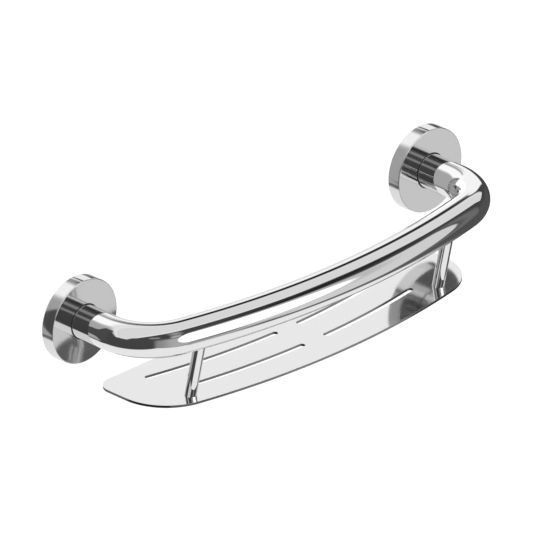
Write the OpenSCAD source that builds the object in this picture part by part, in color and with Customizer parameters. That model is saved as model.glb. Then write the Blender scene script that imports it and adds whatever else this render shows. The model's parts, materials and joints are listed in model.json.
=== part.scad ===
// Bowed wall grab bar with a slotted shelf hung under it on two posts.
// Each end of the bar is welded to a round wall plate, and a drawn cover slides
// along the bar's leg to hide the plate and its screws.
// Millimetres, +Z up. +X runs along the bar and +Y points into the wall.
// The origin is on the wall's face, midway between the two flanges, at the
// height of the bar's axis.

/* [Bar] */
// Distance between the centres of the two flanges
centres = 432; // [400:1:520]
// Outside diameter of the tube
tube_d = 32; // [30:0.5:34]
// Thickness of the tube's wall
tube_wall = 1.5; // [1:0.1:2]
// Length of the straight leg, from the wall to where the bend starts
leg_length = 45; // [44:0.5:60]
// Radius of each bend, to the tube's axis
bend_r = 50; // [40:1:60]
// Radius of the bowed middle, to the tube's axis
bow_r = 770; // [600:5:1200]

/* [Wall plates] */
// Diameter of each wall plate
plate_d = 74; // [72:0.5:75]
// Thickness of each wall plate
plate_t = 3; // [2.5:0.5:4]
// Thickness of the gasket between each plate and the wall
gasket_t = 1; // [0.5:0.5:1.5]
// Diameter of the circle that the screw holes are on
screw_pcd = 56; // [54:1:58]
// Diameter of each screw hole
screw_hole_d = 6.5; // [5:0.5:7]
// Thickness of the rubber ring that holds each cover on its plate
ring_d = 2.6; // [2.2:0.1:2.6]

/* [Covers] */
// Diameter of each flange cover
cover_d = 80; // [80:1:84]
// Depth of each flange cover, out from the wall
cover_depth = 13; // [12:0.5:16]
// Thickness of the covers' sheet
cover_wall = 1; // [0.8:0.1:1.2]
// Width of the bevel round each cover's front rim
cover_bevel = 0.7; // [0.4:0.1:0.8]
// Width of the sealing ring that shows between each cover and the tube
seal_width = 0.8; // [0.6:0.1:1.2]

/* [Shelf] */
// Length of the shelf, along the bar
shelf_length = 400; // [380:1:410]
// Thickness of the shelf
shelf_t = 2.5; // [1.5:0.5:3]
// Height of the bar's axis above the shelf's top face
shelf_drop = 68.7; // [60:0.1:80]
// Gap between the wall and the shelf's straight back edge
shelf_back_gap = 9.5; // [5:0.5:14]
// Distance from the wall to the middle of the shelf's bowed front edge
shelf_reach = 114; // [112:0.5:120]
// Radius of the shelf's bowed front edge
shelf_front_r = 788; // [700:1:900]
// Radius of the two corners at the shelf's back
back_corner_r = 16; // [10:1:20]
// Radius of the two corners at the shelf's front
front_corner_r = 51; // [44:1:54]

/* [Drain slots] */
// Width of each slot
slot_w = 6; // [4:0.5:7]
// Distance from the front edge to the middle of the front slots
front_slot_inset = 31; // [29:0.5:33]
// Distance from the front edge to the middle of the rear slots
rear_slot_inset = 65; // [62:0.5:66]
// Distance from the shelf's middle to the near end of every slot
slot_start = 12.5; // [8:0.5:14]
// Distance from the shelf's middle to the far end of the front slots
front_slot_end = 135; // [110:1:138]
// Distance from the shelf's middle to the far end of the rear slots
rear_slot_end = 159.5; // [120:0.5:165]

/* [Posts] */
// Distance between the two posts
post_span = 310; // [306:1:320]
// Diameter of each post
post_d = 11; // [10:0.5:12]
// Distance from the wall to the middle of each post's foot
post_foot_reach = 83.5; // [82:0.5:86]
// Nominal diameter of the screw that holds the shelf to each post
shelf_screw_d = 4; // [4:0.5:5]

/* [Hidden] */
$fn = 96;
eps = 0.01;
tube_r = tube_d / 2;
bore_r = tube_r - tube_wall;
plate_front = gasket_t + plate_t;
plate_r = plate_d / 2;
cover_r = cover_d / 2;
fit_gap = 0.05;
// The bow is tangent to both bends, so its centre and its half angle follow
bend_x = centres / 2 - bend_r;
bow_half = asin(bend_x / (bow_r - bend_r));
bend_angle = 90 - bow_half;
bow_centre_y = (bow_r - bend_r) * cos(bow_half) - leg_length;
// The legs and the bow run this far into the bends
join_lap = 0.5;
// Where two curves would be tangent, one is a hair smaller, so they join cleanly
join_step = 0.02;
// Weld bead where the tube meets the plate
bead = 2.5;
// Sealing ring
seal_hole_r = tube_r + fit_gap;
seal_neck_r = tube_r + seal_width;
seal_flange_r = seal_neck_r + 2.2;
seal_flange_t = 1.2;
cover_hole_r = seal_neck_r + fit_gap;
cover_back_face = cover_depth - cover_wall;
// Ring that grips the cover from inside, seated in a groove round the plate
ring_reach = cover_r - cover_wall - fit_gap;
ring_centre_r = ring_reach - ring_d / 2;
ring_z = gasket_t + plate_t / 2;
// Shelf outline
shelf_half = shelf_length / 2;
front_centre_y = shelf_front_r - shelf_reach;
front_corner_x = shelf_half - front_corner_r;
front_corner_gap = shelf_front_r - front_corner_r;
front_corner_half = asin(front_corner_x / front_corner_gap);
front_corner_y = front_centre_y - front_corner_gap * cos(front_corner_half);
back_corner_x = shelf_half - back_corner_r;
back_corner_y = -shelf_back_gap - back_corner_r;
shelf_z = -shelf_drop - shelf_t;
// Posts, which lean back from the tube's axis to their feet
post_x = post_span / 2;
post_r = post_d / 2;
post_top_y = bow_centre_y - sqrt(pow(bow_r, 2) - pow(post_x, 2));
post_lean = atan((-post_foot_reach - post_top_y) / shelf_drop);
post_inside = 12;
post_overrun = 4;
post_length = shelf_drop / cos(post_lean) + post_overrun;
// Shelf screws
shelf_screw_r = shelf_screw_d / 2;
shelf_hole_r = shelf_screw_r + 0.25;
thread_depth = 9;
washer_r = 5.5;
washer_t = 1;
head_r = 3.8;
head_h = 2.3;
head_dome_r = 8;
socket_across_corners = 2.9;
socket_depth = 1.4;

// ---- shared placements ----

// Local +Z leads out from the wall, along the right leg's axis
module at_right_flange() {
  translate([centres / 2, 0, 0])
    rotate([90, 0, 0])
      children();
}

module on_left() {
  mirror([1, 0, 0])
    children();
}

// Local -Z leads down the right post's axis, from the tube's axis to the foot
module along_right_post() {
  translate([post_x, post_top_y, 0])
    rotate([post_lean, 0, 0])
      children();
}

// Local origin is under the shelf, in the middle of the right post's foot
module under_right_foot() {
  translate([post_x, -post_foot_reach, shelf_z])
    children();
}

// ---- bar ----

module tube_section(thicker = 0) {
  difference() {
    circle(r = tube_r + thicker);
    circle(r = bore_r - thicker);
  }
}

module right_leg() {
  at_right_flange()
    translate([0, 0, plate_front])
      linear_extrude(leg_length - plate_front + join_lap)
        tube_section();
}

module right_bend() {
  translate([bend_x, -leg_length, 0])
    rotate([0, 0, -bend_angle])
      rotate_extrude(angle = bend_angle)
        translate([bend_r, 0])
          tube_section(join_step);
}

module bow() {
  swept_half = bow_half + asin(join_lap / bow_r);
  translate([0, bow_centre_y, 0])
    rotate([0, 0, -90 - swept_half])
      rotate_extrude(angle = 2 * swept_half)
        translate([bow_r, 0])
          tube_section();
}

module right_weld_bead() {
  at_right_flange()
    translate([0, 0, plate_front])
      rotate_extrude()
        polygon([
          [bore_r + tube_wall / 2, 0],
          [tube_r + bead, 0],
          [bore_r + tube_wall / 2, bead + tube_wall / 2]
        ]);
}

module right_post_hole() {
  along_right_post()
    translate([0, 0, -tube_r - post_overrun])
      cylinder(r = post_r, h = tube_r + post_overrun);
}

module bar_tube() {
  color("silver")
    difference() {
      union() {
        bow();
        right_bend();
        right_leg();
        right_weld_bead();
        on_left() right_bend();
        on_left() right_leg();
        on_left() right_weld_bead();
      }
      right_post_hole();
      on_left() right_post_hole();
    }
}

// ---- wall plates ----

module screw_holes(height) {
  for (turn = [90, 210, 330])
    rotate([0, 0, turn])
      translate([screw_pcd / 2, 0, -eps])
        cylinder(d = screw_hole_d, h = height + 2 * eps);
}

module right_wall_plate() {
  color("gainsboro")
    at_right_flange()
      difference() {
        translate([0, 0, gasket_t])
          cylinder(r = plate_r, h = plate_t);
        screw_holes(plate_front);
        translate([0, 0, ring_z])
          rotate_extrude()
            translate([ring_centre_r, 0])
              circle(d = ring_d + 2 * fit_gap);
      }
}

module right_wall_gasket() {
  color("dimgray")
    at_right_flange()
      difference() {
        cylinder(r = plate_r - 1, h = gasket_t);
        screw_holes(gasket_t);
      }
}

module right_plate_ring() {
  color("black")
    at_right_flange()
      translate([0, 0, ring_z])
        rotate_extrude()
          translate([ring_centre_r, 0])
            circle(d = ring_d);
}

module left_wall_plate() {
  on_left() right_wall_plate();
}

module left_wall_gasket() {
  on_left() right_wall_gasket();
}

module left_plate_ring() {
  on_left() right_plate_ring();
}

// ---- flange covers ----

module right_cover() {
  color("silver")
    at_right_flange()
      rotate_extrude()
        polygon([
          [cover_r - cover_wall, 0],
          [cover_r, 0],
          [cover_r, cover_depth - cover_bevel],
          [cover_r - cover_bevel, cover_depth],
          [cover_hole_r, cover_depth],
          [cover_hole_r, cover_back_face],
          [cover_r - cover_wall, cover_back_face]
        ]);
}

module right_cover_seal() {
  color("black")
    at_right_flange()
      rotate_extrude()
        polygon([
          [seal_hole_r, cover_back_face - seal_flange_t],
          [seal_flange_r, cover_back_face - seal_flange_t],
          [seal_flange_r, cover_back_face],
          [seal_neck_r, cover_back_face],
          [seal_neck_r, cover_depth],
          [seal_hole_r, cover_depth]
        ]);
}

module left_cover() {
  on_left() right_cover();
}

module left_cover_seal() {
  on_left() right_cover_seal();
}

// ---- posts ----

// The tube covers the post's top, and its foot is cut level to sit on the shelf
module right_post() {
  color("silver")
    difference() {
      along_right_post()
        translate([0, 0, -post_length])
          cylinder(r = post_r, h = post_length - post_inside);
      translate([post_x, -post_foot_reach, -shelf_drop - 2 * post_overrun])
        translate([-post_d, -post_d, 0])
          cube([2 * post_d, 2 * post_d, 2 * post_overrun]);
      under_right_foot()
        cylinder(r = shelf_screw_r, h = shelf_t + thread_depth);
    }
}

module left_post() {
  on_left() right_post();
}

// ---- shelf ----

// Wedge of the plan that the right front corner's arc turns through
module front_corner_wedge() {
  far = 2 * front_corner_r;
  translate([front_corner_x, front_corner_y])
    polygon([
      [0, 0],
      [far * sin(front_corner_half), -far * cos(front_corner_half)],
      [far, -far],
      [far, 0]
    ]);
}

module front_corner() {
  intersection() {
    translate([front_corner_x, front_corner_y])
      circle(r = front_corner_r - join_step);
    front_corner_wedge();
  }
}

module back_corner_square() {
  translate([back_corner_x, back_corner_y])
    square(2 * back_corner_r);
}

module back_corner() {
  intersection() {
    translate([back_corner_x, back_corner_y])
      circle(r = back_corner_r - join_step);
    back_corner_square();
  }
}

// Inside the front arc and the straight edges, with the corners still sharp
module sharp_outline() {
  intersection() {
    translate([0, front_centre_y])
      circle(r = shelf_front_r, $fn = 720);
    translate([-shelf_half, -shelf_reach])
      square([shelf_length, shelf_reach - shelf_back_gap]);
  }
}

module shelf_outline() {
  difference() {
    sharp_outline();
    front_corner_wedge();
    back_corner_square();
    mirror([1, 0]) front_corner_wedge();
    mirror([1, 0]) back_corner_square();
  }
  front_corner();
  back_corner();
  mirror([1, 0]) front_corner();
  mirror([1, 0]) back_corner();
}

// Cutter for one slot on the right that follows the front edge at this inset
module right_slot(inset, near, end) {
  slot_r = shelf_front_r - inset;
  a0 = asin((near + slot_w / 2) / slot_r);
  a1 = asin((end - slot_w / 2) / slot_r);
  translate([0, front_centre_y, shelf_z - eps]) {
    rotate([0, 0, a0 - 90])
      rotate_extrude(angle = a1 - a0, $fn = 720)
        translate([slot_r - slot_w / 2, 0])
          square([slot_w, shelf_t + 2 * eps]);
    for (a = [a0, a1])
      rotate([0, 0, a - 90])
        translate([slot_r, 0, 0])
          cylinder(d = slot_w - 2 * join_step, h = shelf_t + 2 * eps);
  }
}

module right_slots() {
  right_slot(front_slot_inset, slot_start, front_slot_end);
  right_slot(rear_slot_inset, slot_start, rear_slot_end);
}

module right_shelf_hole() {
  under_right_foot()
    translate([0, 0, -eps])
      cylinder(r = shelf_hole_r, h = shelf_t + 2 * eps);
}

module shelf_plate() {
  color("silver")
    difference() {
      translate([0, 0, shelf_z])
        linear_extrude(shelf_t)
          shelf_outline();
      right_slots();
      right_shelf_hole();
      on_left() right_slots();
      on_left() right_shelf_hole();
    }
}

// ---- shelf screws ----

module right_shelf_washer() {
  color("gainsboro")
    under_right_foot()
      translate([0, 0, -washer_t])
        difference() {
          cylinder(r = washer_r, h = washer_t);
          translate([0, 0, -eps])
            cylinder(r = shelf_hole_r, h = washer_t + 2 * eps);
        }
}

module right_shelf_screw() {
  color("gray")
    under_right_foot()
      translate([0, 0, -washer_t]) {
        cylinder(r = shelf_screw_r, h = washer_t + shelf_t + thread_depth - 1);
        difference() {
          intersection() {
            translate([0, 0, -head_h])
              cylinder(r = head_r, h = head_h);
            translate([0, 0, head_dome_r - head_h])
              sphere(r = head_dome_r);
          }
          translate([0, 0, -head_h - eps])
            cylinder(d = socket_across_corners, h = socket_depth, $fn = 6);
        }
      }
}

module left_shelf_washer() {
  on_left() right_shelf_washer();
}

module left_shelf_screw() {
  on_left() right_shelf_screw();
}

// ---- what is drawn ----

bar_tube();
left_wall_plate();
right_wall_plate();
left_wall_gasket();
right_wall_gasket();
left_plate_ring();
right_plate_ring();
left_cover();
right_cover();
left_cover_seal();
right_cover_seal();
left_post();
right_post();
shelf_plate();
left_shelf_washer();
right_shelf_washer();
left_shelf_screw();
right_shelf_screw();
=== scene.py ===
"""Looks for the bowed wall grab bar with a slotted shelf. Metres, in the part's own frame.

The mirror-polished pieces are rebuilt as fine meshes, because flat facets would
break up their reflections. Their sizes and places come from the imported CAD
nodes, and the sizes that the nodes' boxes don't give are listed below.
"""

import json
import math

import bmesh
import bpy
from mathutils import Matrix, Vector
from mathutils.geometry import tessellate_polygon


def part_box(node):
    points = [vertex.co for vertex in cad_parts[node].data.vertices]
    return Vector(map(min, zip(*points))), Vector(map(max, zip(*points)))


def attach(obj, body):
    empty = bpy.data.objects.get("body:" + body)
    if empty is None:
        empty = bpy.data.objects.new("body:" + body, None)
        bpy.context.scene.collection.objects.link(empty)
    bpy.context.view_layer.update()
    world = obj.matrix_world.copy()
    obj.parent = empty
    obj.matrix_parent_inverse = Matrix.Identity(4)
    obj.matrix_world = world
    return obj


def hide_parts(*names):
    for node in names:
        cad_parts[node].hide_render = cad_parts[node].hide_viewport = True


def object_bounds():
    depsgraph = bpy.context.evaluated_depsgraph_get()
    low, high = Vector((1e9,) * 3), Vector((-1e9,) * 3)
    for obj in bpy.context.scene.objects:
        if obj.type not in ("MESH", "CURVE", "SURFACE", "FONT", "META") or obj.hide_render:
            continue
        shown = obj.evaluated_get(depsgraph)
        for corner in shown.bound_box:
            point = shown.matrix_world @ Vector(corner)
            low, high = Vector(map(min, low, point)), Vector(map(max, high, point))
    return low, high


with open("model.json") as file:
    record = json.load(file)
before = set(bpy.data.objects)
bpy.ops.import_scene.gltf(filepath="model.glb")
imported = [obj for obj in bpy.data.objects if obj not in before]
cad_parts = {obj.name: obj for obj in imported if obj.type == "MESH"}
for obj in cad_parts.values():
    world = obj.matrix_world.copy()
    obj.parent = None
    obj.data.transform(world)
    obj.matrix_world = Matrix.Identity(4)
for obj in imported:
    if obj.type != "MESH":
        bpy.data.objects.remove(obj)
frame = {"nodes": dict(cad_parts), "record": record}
cad_low, cad_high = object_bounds()

# Sizes of the bar, as in part.scad
TUBE_R = 0.016
BEND_R = 0.050
BOW_R = 0.770
PLATE_FRONT = -0.004

# Sizes of the covers and their seals, as in part.scad
COVER_WALL = 0.001
COVER_HOLE_R = TUBE_R + 0.00085
SEAL_BORE_R = TUBE_R + 0.00005
SEAL_NECK_R = TUBE_R + 0.0008
SEAL_FLANGE_T = 0.0012

# Sizes of the shelf, as in part.scad. Each slot has its distance in from the
# front edge, and the distance of its far end from the shelf's middle.
FRONT_CORNER_R = 0.051
BACK_CORNER_R = 0.016
SHELF_FRONT_R = 0.788
SLOT_W = 0.006
SLOT_NEAR = 0.0125
FRONT_SLOT = (0.031, 0.135)
REAR_SLOT = (0.065, 0.1595)

# Roundings of the edges
FINE_EDGE = 0.0001
SOFT_EDGE = 0.0002
COVER_BACK_EDGE = 0.0003
COVER_BEVEL = 0.0007
COVER_INNER_EDGE = 0.0008

# How far a cover's rim draws in at its front
RIM_DRAW = 0.00025
# Longest stretch of a cover's profile without a point
COVER_STEP = 0.001
# Down a post's axis from the bar's axis: where the post starts, inside the tube,
# and two rings between its ends
POST_START = 0.008
POST_RINGS = (0.03, 0.05)
# Distance of a supporting ring of points from an edge, so that flats stay flat
HOLD = 0.00004
# Numbers of steps round a tube or post, and along the curves
ROUND = 96
LEG_STEPS = 12
BEND_STEPS = 48
BOW_STEPS = 60
CORNER_STEPS = 40
BACK_CORNER_STEPS = 24
SLOT_STEPS = 48
SLOT_END_STEPS = 16
SHELF_EDGE_STEPS = 4
ROUNDING_STEPS = 6
# Index of the shelf's material for its cut edge
CUT_EDGE = 1

# Two values that most of a grain's noise lies between
GRAIN_LOW = 0.3
GRAIN_HIGH = 0.7

# The camera: angles in degrees, its lens in millimetres, the rest in metres.
# RIGHT and UP are the middle of its view, from the origin as the camera sees it.
CAMERA_AZIMUTH = -44.89
CAMERA_ELEVATION = 26.07
CAMERA_LENS = 1700
CAMERA_VIEW_WIDTH = 0.4724
CAMERA_RIGHT = 0.0162
CAMERA_UP = -0.0227
CAMERA_REACH = 100

# The studio: the plain light, the grey between the painted panels, and how
# nearly edge-on a direction may be to a panel's plane
WHITE_LIGHT = 1.2
STUDIO_GREY = 0.06
EDGE_ON = 0.001
# The floor, with how far it is below the part and how far it reaches each way
FLOOR_GREY = 0.9
FLOOR_DROP = 0.6
FLOOR_REACH = 6
# The dark board behind the left end
FLAG_MIDDLE = Vector((-1.03, 0.47, 0.2))
FLAG_ALONG = Vector((0.5, 0.87, 0))
FLAG_HALF_WIDTH = 0.16
FLAG_HALF_HEIGHT = 0.68
FLAG_GREY = 0.07


# ---- meshes ----


def mesh_object(name, points, faces, flat=()):
    """A new object. Every face is smooth except those whose index is in flat."""
    mesh = bpy.data.meshes.new(name)
    mesh.from_pydata([tuple(p) for p in points], [], faces)
    mesh.validate()
    mesh.update()
    mesh.polygons.foreach_set("use_smooth", [True] * len(mesh.polygons))
    for i in flat:
        mesh.polygons[i].use_smooth = False
    thing = bpy.data.objects.new(name, mesh)
    bpy.context.scene.collection.objects.link(thing)
    return thing


def face_outwards(thing):
    """Turns every face of a closed mesh to look outwards."""
    work = bmesh.new()
    work.from_mesh(thing.data)
    bmesh.ops.recalc_face_normals(work, faces=work.faces[:])
    work.to_mesh(thing.data)
    work.free()


def ring_faces(first, second, count):
    """Quads that join two rings of vertices."""
    return [
        (first + i, first + (i + 1) % count, second + (i + 1) % count, second + i)
        for i in range(count)
    ]


def circle(steps):
    """(cosine, sine) pairs once round a circle."""
    turns = [2 * math.pi * i / steps for i in range(steps)]
    return [(math.cos(t), math.sin(t)) for t in turns]


def arc(centre, radius, start, end, steps):
    """Points along an arc in a plane, angles in radians."""
    turns = [start + (end - start) * i / steps for i in range(steps + 1)]
    return [
        Vector((centre[0] + radius * math.cos(t), centre[1] + radius * math.sin(t)))
        for t in turns
    ]


def mirrored(pairs):
    """(point, direction) pairs in a plane, mirrored from right to left."""
    return [(Vector((-p.x, p.y)), Vector((-n.x, n.y))) for p, n in pairs]


def capped(name, points):
    """A closed object from rings of ROUND points, one after another, with flat ends."""
    faces = []
    last = len(points) - ROUND
    for start in range(0, last, ROUND):
        faces += ring_faces(start, start + ROUND, ROUND)
    ends = [tuple(range(ROUND)), tuple(range(last, len(points)))]
    thing = mesh_object(name, points, faces + ends, flat=(len(faces), len(faces) + 1))
    face_outwards(thing)
    return thing


def lathe(name, profile, place):
    """Turns a closed profile of (radius, height) round the local +Z of place."""
    count, steps = len(profile), 2 * ROUND
    points = []
    for x, y in circle(steps):
        points += [place @ Vector((r * x, r * y, h)) for r, h in profile]
    faces = []
    for i in range(steps):
        faces += ring_faces(i * count, ((i + 1) % steps) * count, count)
    thing = mesh_object(name, points, faces)
    face_outwards(thing)
    return thing


def rounded(corners):
    """A closed profile whose corners, given as (r, h, radius), are rounded.

    A point just outside each rounding keeps the flats beside it flat when the
    mesh is shaded smooth.
    """
    out = []
    count = len(corners)
    for i, (r, h, radius) in enumerate(corners):
        here = Vector((r, h))
        before = (Vector(corners[i - 1][:2]) - here).normalized()
        after = (Vector(corners[(i + 1) % count][:2]) - here).normalized()
        half = before.angle(after) / 2
        cut = radius / math.tan(half)
        middle = here + (before + after).normalized() * (radius / math.sin(half))
        out.append(here + before * (cut + HOLD))
        for k in range(ROUNDING_STEPS + 1 if radius else 1):
            p = (here + before * cut).lerp(here + after * cut, k / ROUNDING_STEPS) - middle
            out.append(middle + p.normalized() * radius)
        out.append(here + after * (cut + HOLD))
    return out


def divided(profile, longest):
    """The closed profile with more points, so that no stretch of it is longer than this."""
    out = []
    for here, after in zip(profile, profile[1:] + profile[:1]):
        count = math.ceil((after - here).length / longest)
        out += [here.lerp(after, k / count) for k in range(count)]
    return out


# ---- bar ----


class BarPath:
    """The tube's centre line, which lies in the plane z = 0."""

    def __init__(self):
        mounts = {m["name"]: m for m in frame["record"]["mounts"]}
        self.flange_x = mounts["right_wall_face"]["pos_m"][0]
        self.bow_centre = Vector((0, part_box("bar_tube")[0].y + TUBE_R + BOW_R))
        reach = self.flange_x - BEND_R
        between = BOW_R - BEND_R
        self.half_angle = math.asin(reach / between)
        self.bend_centre = Vector((reach, self.bow_centre.y - between * math.cos(self.half_angle)))

    def leg(self):
        """(point, tangent) pairs from the right wall plate to the start of the bend."""
        length = self.bend_centre.y - PLATE_FRONT
        places = [PLATE_FRONT]
        places += [PLATE_FRONT - HOLD + length * i / LEG_STEPS for i in range(LEG_STEPS)]
        return [(Vector((self.flange_x, y)), Vector((0, 1))) for y in places]

    def curve(self, centre, points):
        """(point, tangent) pairs for points on an arc round this centre."""
        pairs = []
        for p in points:
            out = (p - centre).normalized()
            pairs.append((p, Vector((-out.y, out.x))))
        return pairs

    def points(self):
        """(point, tangent) pairs from the left wall plate to the right one."""
        bend_end = self.half_angle - math.pi / 2
        bend = arc(self.bend_centre, BEND_R, 0, bend_end, BEND_STEPS)
        bow = arc(self.bow_centre, BOW_R, bend_end, -math.pi / 2, BOW_STEPS)
        right = self.leg()
        right += self.curve(self.bend_centre, bend)
        right += self.curve(self.bow_centre, bow[1:])
        left = [(Vector((-p.x, p.y)), Vector((t.x, -t.y))) for p, t in right[:-1]]
        return left + right[::-1]

    def bow_y(self, x):
        """Y of the bowed middle's centre line at this x."""
        return self.bow_centre.y - math.sqrt(BOW_R**2 - x**2)


def make_bar(path):
    """The bent tube, closed at the wall plates, with both bends and the bow."""
    points = []
    for p, t in path.points():
        side = Vector((t.y, -t.x, 0))
        for across, up in circle(ROUND):
            offset = side * across + Vector((0, 0, up))
            points.append(Vector((p.x, p.y, 0)) + offset * TUBE_R)
    bar = capped("bar", points)
    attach(bar, "frame")
    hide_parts("bar_tube")
    return bar


# ---- covers ----


def flange_place(node):
    """Origin at the middle of the piece's back edge, +Z out from the wall."""
    low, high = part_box(node)
    middle = (low + high) / 2
    turned = Matrix.Rotation(math.pi / 2, 4, "X")
    return Matrix.Translation((middle.x, high.y, middle.z)) @ turned


def make_cover(side):
    """A pressed cover, whose rim draws in very slightly towards its face."""
    node = side + "_cover"
    low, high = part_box(node)
    radius, depth = (high.x - low.x) / 2, high.y - low.y
    profile = rounded(
        [
            (radius - COVER_WALL, 0, FINE_EDGE),
            (radius, 0, COVER_BACK_EDGE),
            (radius, depth, COVER_BEVEL),
            (COVER_HOLE_R, depth, SOFT_EDGE),
            (COVER_HOLE_R, depth - COVER_WALL, FINE_EDGE),
            (radius - COVER_WALL, depth - COVER_WALL, COVER_INNER_EDGE),
        ]
    )
    profile = divided(profile, COVER_STEP)
    for point in profile:
        # the rim, but not the edge of the tube's hole
        if point.x > radius / 2:
            point.x -= RIM_DRAW * (point.y / depth) ** 2
    cover = lathe(side + "_flange_cover", profile, flange_place(node))
    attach(cover, side + "_flange_cover")
    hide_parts(node)
    return cover


def make_seal(side):
    """The ring between cover and tube: a neck that shows, and a flange inside the cover."""
    node = side + "_cover_seal"
    low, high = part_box(node)
    depth, flange = high.y - low.y, (high.x - low.x) / 2
    profile = rounded(
        [
            (SEAL_BORE_R, 0, FINE_EDGE),
            (flange, 0, SOFT_EDGE),
            (flange, SEAL_FLANGE_T, SOFT_EDGE),
            (SEAL_NECK_R, SEAL_FLANGE_T, 0),
            (SEAL_NECK_R, depth, SOFT_EDGE),
            (SEAL_BORE_R, depth, FINE_EDGE),
        ]
    )
    seal = lathe(side + "_seal", profile, flange_place(node))
    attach(seal, side + "_flange_cover")
    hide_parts(node)
    return seal


# ---- shelf ----


def outward(points, centre):
    """Each point with the direction away from this centre."""
    return [(p, (p - centre).normalized()) for p in points]


def inward(points, centre):
    """Each point with the direction towards this centre."""
    return [(p, (centre - p).normalized()) for p in points]


def shelf_outline(low, high):
    """(point, outward direction) pairs, anticlockwise from the middle of the front edge."""
    centre = Vector((0, low.y + SHELF_FRONT_R))
    corner_x = high.x - FRONT_CORNER_R
    gap = SHELF_FRONT_R - FRONT_CORNER_R
    corner = Vector((corner_x, centre.y - math.sqrt(gap**2 - corner_x**2)))
    back = Vector((high.x - BACK_CORNER_R, high.y - BACK_CORNER_R))
    lean = math.asin(corner_x / gap) - math.pi / 2
    front_arc = arc(centre, SHELF_FRONT_R, -math.pi / 2, lean, BOW_STEPS)
    corner_arc = arc(corner, FRONT_CORNER_R, lean, 0, CORNER_STEPS)
    back_arc = arc(back, BACK_CORNER_R, 0, math.pi / 2, BACK_CORNER_STEPS)
    right = outward(front_arc, centre)
    right += outward(corner_arc[1:], corner)
    right += outward(back_arc, back)
    return right + mirrored(right[:0:-1])


def slot_outline(centre, inset, end, side):
    """(point, direction out of the metal) pairs round one slot."""
    radius, half = SHELF_FRONT_R - inset, SLOT_W / 2
    first = math.asin((SLOT_NEAR + half) / radius) - math.pi / 2
    last = math.asin((end - half) / radius) - math.pi / 2
    start, stop = arc(centre, radius, first, last, 1)
    outer = arc(centre, radius + half, first, last, SLOT_STEPS)
    stop_cap = arc(stop, half, last, last + math.pi, SLOT_END_STEPS)
    inner = arc(centre, radius - half, last, first, SLOT_STEPS)
    start_cap = arc(start, half, first + math.pi, first + 2 * math.pi, SLOT_END_STEPS)
    pairs = inward(outer, centre) + inward(stop_cap[1:-1], stop)
    pairs += outward(inner, centre) + inward(start_cap[1:-1], start)
    return mirrored(pairs[::-1]) if side < 0 else pairs


def shelf_section(under, top):
    """(inset, z) down the plate's edge, with its two corners softened."""
    soft = []
    for k in range(SHELF_EDGE_STEPS + 1):
        turn = math.pi / 2 * k / SHELF_EDGE_STEPS
        inset, drop = FINE_EDGE * (1 - math.sin(turn)), FINE_EDGE * (1 - math.cos(turn))
        soft.append((inset, top - drop))
    soft.append((0, top - FINE_EDGE - HOLD))
    return soft + [(inset, under + top - z) for inset, z in soft[::-1]]


def shelf_loops(low, high):
    """The outline and the four slots."""
    centre = Vector((0, low.y + SHELF_FRONT_R))
    loops = [shelf_outline(low, high)]
    for side in (1, -1):
        for inset, end in (FRONT_SLOT, REAR_SLOT):
            loops.append(slot_outline(centre, inset, end, side))
    return loops


def shelf_walls(loops, section):
    """The walls' points and faces, the cut faces' indices, and each loop's (start, count)."""
    points, faces, cut, starts = [], [], [], []
    upright = len(section) // 2 - 1
    for loop in loops:
        start, count = len(points), len(loop)
        for inset, z in section:
            points += [Vector((p.x - n.x * inset, p.y - n.y * inset, z)) for p, n in loop]
        for k in range(len(section) - 1):
            if k == upright:
                cut += range(len(faces), len(faces) + count)
            faces += ring_faces(start + k * count, start + (k + 1) * count, count)
        starts.append((start, count))
    return points, faces, cut, starts


def shelf_flats(points, starts, last):
    """Triangles of the top and the underside, whose ring in each loop has the index last."""
    top = [start + i for start, count in starts for i in range(count)]
    under = [start + last * count + i for start, count in starts for i in range(count)]
    rings = [
        [Vector((points[start + i].x, points[start + i].y, 0)) for i in range(count)]
        for start, count in starts
    ]
    faces = []
    for a, b, c in tessellate_polygon(rings):
        faces.append((top[a], top[b], top[c]))
        faces.append((under[c], under[b], under[a]))
    return faces


def make_shelf():
    """The flat plate with its softened edge and four slots."""
    low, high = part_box("shelf_plate")
    section = shelf_section(low.z, high.z)
    points, walls, cut, starts = shelf_walls(shelf_loops(low, high), section)
    faces = walls + shelf_flats(points, starts, len(section) - 1)
    shelf = mesh_object("shelf", points, faces, flat=range(len(walls), len(faces)))
    face_outwards(shelf)
    for i in cut:
        shelf.data.polygons[i].material_index = CUT_EDGE
    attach(shelf, "frame")
    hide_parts("shelf_plate")
    return shelf


def make_post(side, path):
    """A leaning round post, cut square inside the tube and level where it meets the shelf."""
    node = side + "_post"
    low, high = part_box(node)
    radius = (high.x - low.x) / 2
    screw_low, screw_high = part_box(side + "_shelf_screw")
    foot = (screw_low + screw_high) / 2
    foot.z = low.z
    top = Vector((foot.x, path.bow_y(foot.x), 0))
    along = (foot - top).normalized()
    across = Vector((1, 0, 0))
    other = along.cross(across)
    rim = [top + (across * x + other * y) * radius for x, y in circle(ROUND)]
    points = []
    for level in (POST_START, POST_START + HOLD, *POST_RINGS):
        points += [p + along * level for p in rim]
    for level in (-HOLD, 0):
        points += [p + along * ((low.z - p.z) / along.z + level) for p in rim]
    post = capped(side + "_shelf_post", points)
    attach(post, "frame")
    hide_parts(node)
    return post


# ---- materials ----


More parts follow.
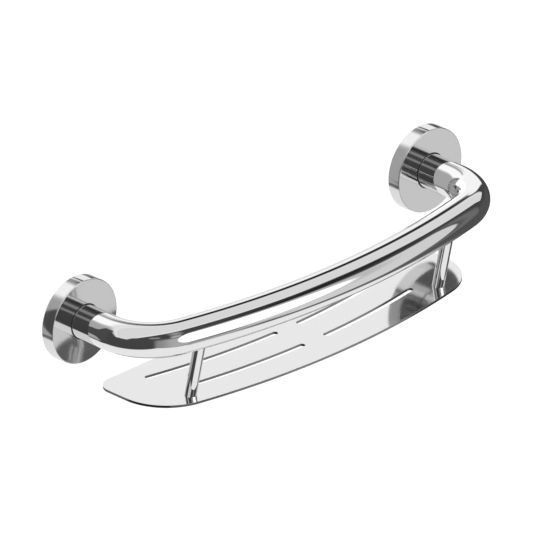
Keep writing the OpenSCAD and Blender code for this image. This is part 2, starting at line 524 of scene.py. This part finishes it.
class Finish:
    """A material whose roughness, height and colour vary with a fine grain."""

    def __init__(self, name, colour, metallic, roughness):
        self.material = bpy.data.materials.new(name)
        self.material.use_nodes = True
        self.tree = self.material.node_tree
        self.shader = self.tree.nodes["Principled BSDF"]
        self.shader.inputs["Base Color"].default_value = (*colour, 1)
        self.shader.inputs["Metallic"].default_value = metallic
        self.shader.inputs["Roughness"].default_value = roughness

    def grain(self, scale, detail=2.0):
        """Noise with this many grains per metre along each axis."""
        place = self.tree.nodes.new("ShaderNodeTexCoord").outputs["Object"]
        stretch = self.tree.nodes.new("ShaderNodeMapping")
        stretch.inputs["Scale"].default_value = scale
        noise = self.tree.nodes.new("ShaderNodeTexNoise")
        noise.inputs["Scale"].default_value = 1
        noise.inputs["Detail"].default_value = detail
        self.tree.links.new(place, stretch.inputs["Vector"])
        self.tree.links.new(stretch.outputs[0], noise.inputs["Vector"])
        return noise.outputs[0]

    def vary_roughness(self, grain, low, high):
        node = self.tree.nodes.new("ShaderNodeMapRange")
        self.tree.links.new(grain, node.inputs["Value"])
        node.inputs["From Min"].default_value = GRAIN_LOW
        node.inputs["From Max"].default_value = GRAIN_HIGH
        node.inputs["To Min"].default_value = low
        node.inputs["To Max"].default_value = high
        self.tree.links.new(node.outputs[0], self.shader.inputs["Roughness"])

    def vary_colour(self, grain, dark, light):
        node = self.tree.nodes.new("ShaderNodeValToRGB")
        node.color_ramp.elements[0].position = GRAIN_LOW
        node.color_ramp.elements[0].color = (*dark, 1)
        node.color_ramp.elements[1].position = GRAIN_HIGH
        node.color_ramp.elements[1].color = (*light, 1)
        self.tree.links.new(grain, node.inputs[0])
        self.tree.links.new(node.outputs[0], self.shader.inputs["Base Color"])

    def roughen(self, grain, height):
        """Raises the surface by up to this height in metres."""
        node = self.tree.nodes.new("ShaderNodeBump")
        node.inputs["Distance"].default_value = height
        self.tree.links.new(grain, node.inputs["Height"])
        self.tree.links.new(node.outputs[0], self.shader.inputs["Normal"])


def grey(level):
    return (level, level, level)


def tube_steel():
    """Mirror polish, with the faint haze of the polishing mop."""
    finish = Finish("tube_steel", grey(0.87), metallic=1, roughness=0.04)
    finish.vary_roughness(finish.grain((60, 400, 400)), 0.03, 0.05)
    finish.roughen(finish.grain((300, 300, 300)), 3e-7)
    return finish.material


def shaded_sheet_steel():
    """Polished sheet, a little hazier than the tube, with a grey darker than the tube's as painted
    shade.
    """
    # painted shade: the same steel as the tube, its grey lowered from 0.87 to 0.78 so that its
    # reflections come out darker
    finish = Finish("shaded_sheet_steel", grey(0.78), metallic=1, roughness=0.08)
    finish.vary_roughness(finish.grain((40, 300, 300)), 0.07, 0.09)
    finish.roughen(finish.grain((250, 250, 250)), 3e-7)
    return finish.material


def dark_edge_steel():
    """The shelf's cut edge: a darker grey than its polished faces, with fine upright lines."""
    finish = Finish("dark_edge_steel", grey(0.26), metallic=1, roughness=0.15)
    lines = finish.grain((3000, 3000, 200))
    finish.vary_colour(lines, grey(0.25), grey(0.34))
    finish.vary_roughness(lines, 0.06, 0.12)
    finish.roughen(lines, 5e-6)
    return finish.material


def plate_steel():
    """Brushed sheet, with its lines along X."""
    finish = Finish("plate_steel", grey(0.6), metallic=1, roughness=0.3)
    lines = finish.grain((60, 2500, 2500), detail=4)
    finish.vary_colour(lines, grey(0.54), grey(0.64))
    finish.vary_roughness(lines, 0.24, 0.38)
    finish.roughen(lines, 6e-6)
    return finish.material


def screw_steel():
    """Plain steel with a fine even grain."""
    finish = Finish("screw_steel", grey(0.55), metallic=1, roughness=0.25)
    grain = finish.grain((900, 900, 900), detail=3)
    finish.vary_colour(grain, grey(0.48), grey(0.60))
    finish.vary_roughness(grain, 0.2, 0.34)
    finish.roughen(grain, 4e-6)
    return finish.material


def rubber(name, dark, light):
    """Matt moulded rubber with a fine pebbled skin."""
    finish = Finish(name, grey(dark), metallic=0, roughness=0.6)
    grain = finish.grain((1500, 1500, 1500), detail=3)
    finish.vary_colour(grain, grey(dark), grey(light))
    finish.vary_roughness(grain, 0.5, 0.72)
    finish.roughen(grain, 3e-5)
    return finish.material


def dress(piece, *finishes):
    """Gives a piece or a CAD node these materials, one for each material index."""
    given = piece.data.materials
    for index, finish in enumerate(finishes):
        if index < len(given):
            given[index] = finish
        else:
            given.append(finish)


# ---- camera and painted studio ----


def toward(azimuth, elevation):
    """The direction and the one across it, for angles in degrees.

    Azimuth 0 is straight out from the wall into the room, and 90 is to the right.
    """
    a, e = math.radians(azimuth), math.radians(elevation)
    out = Vector((math.sin(a) * math.cos(e), -math.cos(a) * math.cos(e), math.sin(e)))
    return out, Vector((math.cos(a), math.sin(a), 0))


def camera():
    """The photo's view. The lens is very long, so that there is almost no perspective."""
    back, right = toward(CAMERA_AZIMUTH, CAMERA_ELEVATION)
    up = back.cross(right)
    data = bpy.data.cameras.new("camera")
    data.lens = CAMERA_LENS
    data.clip_end = CAMERA_REACH
    distance = CAMERA_VIEW_WIDTH * data.lens / data.sensor_width
    cam = bpy.data.objects.new("camera", data)
    bpy.context.scene.collection.objects.link(cam)
    cam.location = right * CAMERA_RIGHT + up * CAMERA_UP + back * distance
    cam.rotation_mode = "QUATERNION"
    cam.rotation_quaternion = (-back).to_track_quat("-Z", "Y")
    bpy.context.scene.camera = cam


class SkyBuilder:
    """Paints soft panels round the object into the world, one over another.

    Each panel lies on a far plane that faces the object. Its place is the
    azimuth and elevation in degrees of that plane's nearest point. Its edges
    are distances on the plane, as multiples of how far off the plane is.
    """

    def __init__(self, base):
        self.world = bpy.data.worlds.new("studio")
        self.world.use_nodes = True
        self.tree = self.world.node_tree
        self.tree.nodes.clear()
        self.direction = self.tree.nodes.new("ShaderNodeTexCoord").outputs["Generated"]
        self.level = self.maths("ADD", base, 0.0)

    def feed(self, socket, value):
        """Gives a socket a value, or a link from the socket that makes it."""
        if isinstance(value, bpy.types.NodeSocket):
            self.tree.links.new(value, socket)
        else:
            socket.default_value = value

    def maths(self, operation, *values):
        node = self.tree.nodes.new("ShaderNodeMath")
        node.operation = operation
        for socket, value in zip(node.inputs, values):
            self.feed(socket, value)
        return node.outputs[0]

    def along(self, axis):
        """How much of the direction lies along this axis."""
        node = self.tree.nodes.new("ShaderNodeVectorMath")
        node.operation = "DOT_PRODUCT"
        self.feed(node.inputs[0], self.direction)
        node.inputs[1].default_value = axis
        return node.outputs["Value"]

    def step(self, value, start, end):
        """Rises smoothly from 0 at start to 1 at end."""
        node = self.tree.nodes.new("ShaderNodeMapRange")
        node.interpolation_type = "SMOOTHSTEP"
        self.feed(node.inputs["Value"], value)
        node.inputs["From Min"].default_value = start
        node.inputs["From Max"].default_value = end
        return node.outputs["Result"]

    def plane(self, azimuth, elevation):
        """Across, up and in-front values on the plane, with its middle at 0, 0."""
        out, across = toward(azimuth, elevation)
        facing = self.along(out)
        near = self.maths("MAXIMUM", facing, EDGE_ON)
        x = self.maths("DIVIDE", self.along(across), near)
        y = self.maths("DIVIDE", self.along(across.cross(-out)), near)
        return x, y, self.maths("GREATER_THAN", facing, EDGE_ON)

    def paint(self, cover, level):
        """Brings what is there to this level, as far as it is covered."""
        more = self.maths("SUBTRACT", level, self.level)
        self.level = self.maths("MULTIPLY_ADD", more, cover, self.level)

    def panel(self, azimuth, elevation, left, right, low, high, level, soft):
        """soft is how soft the left, right, low and high edges are."""
        x, y, cover = self.plane(azimuth, elevation)
        for value, edge, width, rises in (
            (x, left, soft[0], True),
            (x, right, soft[1], False),
            (y, low, soft[2], True),
            (y, high, soft[3], False),
        ):
            inside = self.step(value, edge - width, edge + width)
            if not rises:
                inside = self.maths("SUBTRACT", 1.0, inside)
            cover = self.maths("MULTIPLY", cover, inside)
        self.paint(cover, level)

    def disc(self, azimuth, elevation, wide, high, level, soft):
        """An ellipse with these half widths. soft is a part of them."""
        x, y, front = self.plane(azimuth, elevation)
        x2 = self.maths("POWER", self.maths("DIVIDE", x, wide), 2.0)
        y2 = self.maths("POWER", self.maths("DIVIDE", y, high), 2.0)
        distance = self.maths("SQRT", self.maths("ADD", x2, y2))
        inside = self.maths("SUBTRACT", 1.0, self.step(distance, 1 - soft, 1 + soft))
        self.paint(self.maths("MULTIPLY", front, inside), level)

    def finish(self):
        """The panels are only seen in reflections: the rest of the light is plain white."""
        panels = self.tree.nodes.new("ShaderNodeBackground")
        panels.inputs["Color"].default_value = (*grey(1), 1)
        self.feed(panels.inputs["Strength"], self.level)
        white = self.tree.nodes.new("ShaderNodeBackground")
        white.inputs["Color"].default_value = (*grey(1), 1)
        white.inputs["Strength"].default_value = WHITE_LIGHT
        glossy = self.tree.nodes.new("ShaderNodeLightPath").outputs["Is Glossy Ray"]
        mix = self.tree.nodes.new("ShaderNodeMixShader")
        self.feed(mix.inputs[0], glossy)
        self.tree.links.new(white.outputs[0], mix.inputs[1])
        self.tree.links.new(panels.outputs[0], mix.inputs[2])
        end = self.tree.nodes.new("ShaderNodeOutputWorld")
        self.tree.links.new(mix.outputs[0], end.inputs["Surface"])
        bpy.context.scene.world = self.world


def front_wall(sky):
    """The wall in front, lighter on the right, with two lamps high on it."""
    sky.panel(-15, 0, -0.42, 0.9, -0.60, 0.42, 0.27, (0.1, 0.05, 0.1, 0.2))
    sky.panel(-15, 0, -0.10, 0.9, -0.60, 0.42, 0.44, (0.25, 0.05, 0.1, 0.15))
    sky.panel(-38, 37, -0.12, 0.12, -0.08, 0.07, 0.28, (0.05, 0.05, 0.05, 0.05))
    sky.panel(3, 50, -0.12, 0.14, -0.2, 0.2, 0.30, (0.1, 0.1, 0.1, 0.1))


def side_screen(sky):
    """A pale screen in front on the right."""
    sky.panel(45, 0, -0.5, 0.25, -0.75, 0.39, 0.70, (0.05, 0.005, 0.08, 0.05))
    # the dark walls beyond it
    sky.panel(63, -5, -0.05, 0.04, -0.72, 0.55, 0.16, (0.03, 0.05, 0.1, 0.15))
    sky.panel(90, -5, -0.42, 0.35, -0.8, 0.20, 0.085, (0.05, 0.1, 0.1, 0.15))
    # a dim patch low at its left end, and a nearly black one above it
    sky.panel(21, -23, -0.07, 0.07, -0.09, 0.08, 0.20, (0.04, 0.05, 0.05, 0.04))
    sky.panel(50, 35, -0.25, 0.22, -0.08, 0.14, 0.015, (0.15, 0.1, 0.1, 0.1))


def key_light(sky):
    """A pale patch above on its left, then the round light's glow and the light."""
    sky.panel(-2, 33, -0.13, 0.13, -0.09, 0.06, 0.50, (0.06, 0.06, 0.06, 0.06))
    sky.disc(25, 10, 0.41, 0.42, 0.55, soft=0.2)
    sky.disc(18.5, 6.5, 0.385, 0.41, 1.8, soft=0.13)


def back_walls(sky):
    """What lies on the far side of the part from the room."""
    # the grey wall behind and on the left, and a paler stretch of ceiling
    sky.panel(-150, 0, -0.9, 0.49, -0.62, 2.5, 0.42, (0.05, 0.04, 0.05, 0.05))
    sky.panel(0, 90, -0.5, 0.55, 0.45, 1.3, 0.75, (0.3, 0.1, 0.03, 0.1))
    # a grey patch, a wide window, the pale wall under it, and a high window
    sky.panel(160, 40, -0.38, 0.4, -0.25, 0.25, 0.38, (0.06, 0.1, 0.1, 0.1))
    sky.panel(135, 0, -0.405, 1.0, 0.16, 0.72, 1.03, (0.03, 0.05, 0.04, 0.03))
    sky.panel(140, -10, -0.18, 0.60, -0.5, 0.38, 0.80, (0.03, 0.1, 0.1, 0.1))
    sky.panel(180, 45, -0.32, 0.32, -0.32, 0.3, 1.1, (0.1, 0.1, 0.1, 0.1))


def pale_floor(sky):
    """The floor as the steel sees it."""
    sky.panel(0, -90, -1.08, 1.03, -1.1, 1.6, 0.90, (0.1, 0.1, 0.1, 0.1))
    # a dim patch on it, in front on the right
    sky.panel(26, -32, -0.14, 0.14, -0.07, 0.10, 0.40, (0.06, 0.06, 0.06, 0.1))
    # dark gaps where it ends: one on the right, three behind and on the left
    sky.panel(70, 0, -0.85, 0.3, -0.99, -0.78, 0.11, (0.15, 0.1, 0.06, 0.05))
    sky.panel(-140, 0, 0.0, 0.8, -0.80, -0.64, 0.06, (0.1, 0.1, 0.05, 0.04))
    sky.panel(-150, 0, -0.7, 0.2, -0.73, -0.65, 0.17, (0.1, 0.1, 0.04, 0.03))
    sky.panel(-150, 0, 0.36, 0.6, -0.70, -0.44, 0.06, (0.05, 0.05, 0.05, 0.05))


def softbox(sky):
    """The long softbox overhead, and what is dark near it."""
    # dark patches beyond it, behind on the right
    sky.panel(0, 90, 0.65, 1.23, 0.55, 0.95, 0.02, (0.05, 0.04, 0.1, 0.03))
    sky.panel(0, 90, 1.03, 1.25, 0.90, 1.28, 0.02, (0.05, 0.04, 0.05, 0.05))
    # its dark rim, deeper on the right
    sky.panel(0, 90, -3.3, 3.3, -0.68, 0.46, 0.03, (0.08, 0.08, 0.08, 0.05))
    sky.panel(0, 90, 0.7, 3.3, 0.40, 0.68, 0.03, (0.05, 0.08, 0.03, 0.08))
    # its bright border, and its slightly dimmer middle
    sky.panel(0, 90, -3.1, 3.1, -0.58, 0.52, 0.90, (0.2, 0.05, 0.05, 0.12))
    sky.panel(0, 90, -2.9, 2.9, -0.46, 0.36, 0.772, (0.06, 0.06, 0.06, 0.06))
    # dark rim over the front of the border, at both ends
    sky.panel(0, 90, 0.8, 3.3, -0.68, -0.50, 0.05, (0.1, 0.08, 0.05, 0.04))
    sky.panel(0, 90, -3.3, -1.5, -0.68, -0.46, 0.07, (0.1, 0.4, 0.05, 0.06))
    # a small dark patch behind on the right, at the top of the wide window
    sky.panel(131, 31.5, -0.04, 0.03, -0.025, 0.03, 0.07, (0.02, 0.02, 0.02, 0.03))


def studio():
    """Later panels hide earlier ones, so the order matters."""
    sky = SkyBuilder(STUDIO_GREY)
    front_wall(sky)
    side_screen(sky)
    key_light(sky)
    back_walls(sky)
    pale_floor(sky)
    softbox(sky)
    sky.finish()


# ---- staged pieces ----


def make_flag():
    """A dark board behind the left end, near enough that only that end reflects it."""
    along = FLAG_ALONG.normalized() * FLAG_HALF_WIDTH
    rise = Vector((0, 0, FLAG_HALF_HEIGHT))
    low, high = FLAG_MIDDLE - rise, FLAG_MIDDLE + rise
    corners = [low - along, low + along, high + along, high - along]
    flag = mesh_object("flag", corners, [(0, 1, 2, 3)])
    flag.visible_camera = False
    flag.visible_diffuse = False
    flag.visible_shadow = False
    board = bpy.data.materials.new("flag_board")
    board.use_nodes = True
    shader = board.node_tree.nodes["Principled BSDF"]
    shader.inputs["Base Color"].default_value = (*grey(0), 1)
    shader.inputs["Specular IOR Level"].default_value = 0
    shader.inputs["Emission Color"].default_value = (*grey(1), 1)
    shader.inputs["Emission Strength"].default_value = FLAG_GREY
    dress(flag, board)


def floor_paper():
    """Pale paper that only shows from above, so that it hides nothing in a view from below."""
    material = bpy.data.materials.new("floor_paper")
    material.use_nodes = True
    tree = material.node_tree
    paper = tree.nodes["Principled BSDF"]
    paper.inputs["Base Color"].default_value = (*grey(FLOOR_GREY), 1)
    paper.inputs["Roughness"].default_value = 1
    paper.inputs["Specular IOR Level"].default_value = 0
    clear = tree.nodes.new("ShaderNodeBsdfTransparent")
    from_below = tree.nodes.new("ShaderNodeNewGeometry").outputs["Backfacing"]
    mix = tree.nodes.new("ShaderNodeMixShader")
    tree.links.new(from_below, mix.inputs[0])
    tree.links.new(paper.outputs[0], mix.inputs[1])
    tree.links.new(clear.outputs[0], mix.inputs[2])
    tree.links.new(mix.outputs[0], tree.nodes["Material Output"].inputs["Surface"])
    return material


def make_floor():
    """A pale floor well below the bar, which hangs on a wall.

    The steel doesn't reflect it, but the painted floor instead.
    """
    reach, z = FLOOR_REACH, cad_low.z - FLOOR_DROP
    corners = [(-reach, -reach, z), (reach, -reach, z), (reach, reach, z), (-reach, reach, z)]
    floor = mesh_object("floor", corners, [(0, 1, 2, 3)])
    floor.visible_glossy = False
    dress(floor, floor_paper())


# ---- the part in its studio ----


path = BarPath()
tube, sheet, cut = tube_steel(), shaded_sheet_steel(), dark_edge_steel()
plain, screw = plate_steel(), screw_steel()
black, soft_grey = rubber("black_rubber", 0.012, 0.03), rubber("grey_rubber", 0.15, 0.22)
dress(make_bar(path), tube)
dress(make_shelf(), sheet, cut)
for side in ("left", "right"):
    dress(make_cover(side), sheet)
    dress(make_seal(side), black)
    dress(make_post(side, path), tube)
    dress(frame["nodes"][side + "_wall_plate"], plain)
    dress(frame["nodes"][side + "_wall_gasket"], soft_grey)
    dress(frame["nodes"][side + "_plate_ring"], black)
    dress(frame["nodes"][side + "_shelf_washer"], screw)
    dress(frame["nodes"][side + "_shelf_screw"], screw)
bpy.context.scene.view_settings.view_transform = "Standard"
make_floor()
make_flag()
camera()
studio()
